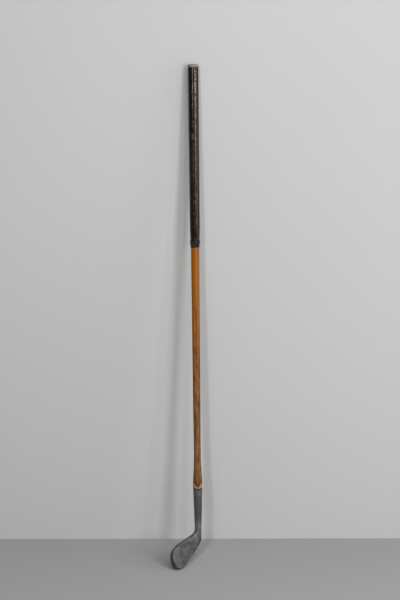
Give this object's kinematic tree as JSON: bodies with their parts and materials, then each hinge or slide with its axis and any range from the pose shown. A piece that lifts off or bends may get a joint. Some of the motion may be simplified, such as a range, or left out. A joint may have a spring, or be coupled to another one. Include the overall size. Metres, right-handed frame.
{
  "type": "golf club",
  "caption": "Smooth-faced forged iron head pinned to a tapered wooden shaft with a spirally wound leather grip and thread whipping.",
  "frame": {"origin": "on the shaft's axis at the middle of the hands' hold, 150 mm below the butt's end", "axes": "+Z along the shaft towards the butt, -X towards the toe of the head, -Y the way the face looks"},
  "size_m": [0.0874, 0.0251, 0.9761],
  "materials": {
    "forged_iron": "dull, worn and faintly pitted",
    "pin_steel": "filed flush",
    "hickory": "varnished, darkened with age",
    "grip_leather": "black-brown, polished by handling and worn to brown lower down",
    "underlay_cloth": "coarse list cloth",
    "pitched_thread": "waxed black",
    "tack_brass": "tarnished"
  },
  "bodies": {
    "root": {"iron_head": "forged_iron", "hosel_pin": "pin_steel", "hickory_shaft": "hickory", "grip_underlay": "underlay_cloth", "leather_grip": "grip_leather", "lower_whipping": "pitched_thread", "butt_tack": "tack_brass", "lower_tack": "tack_brass"}
  },
  "joints": []
}
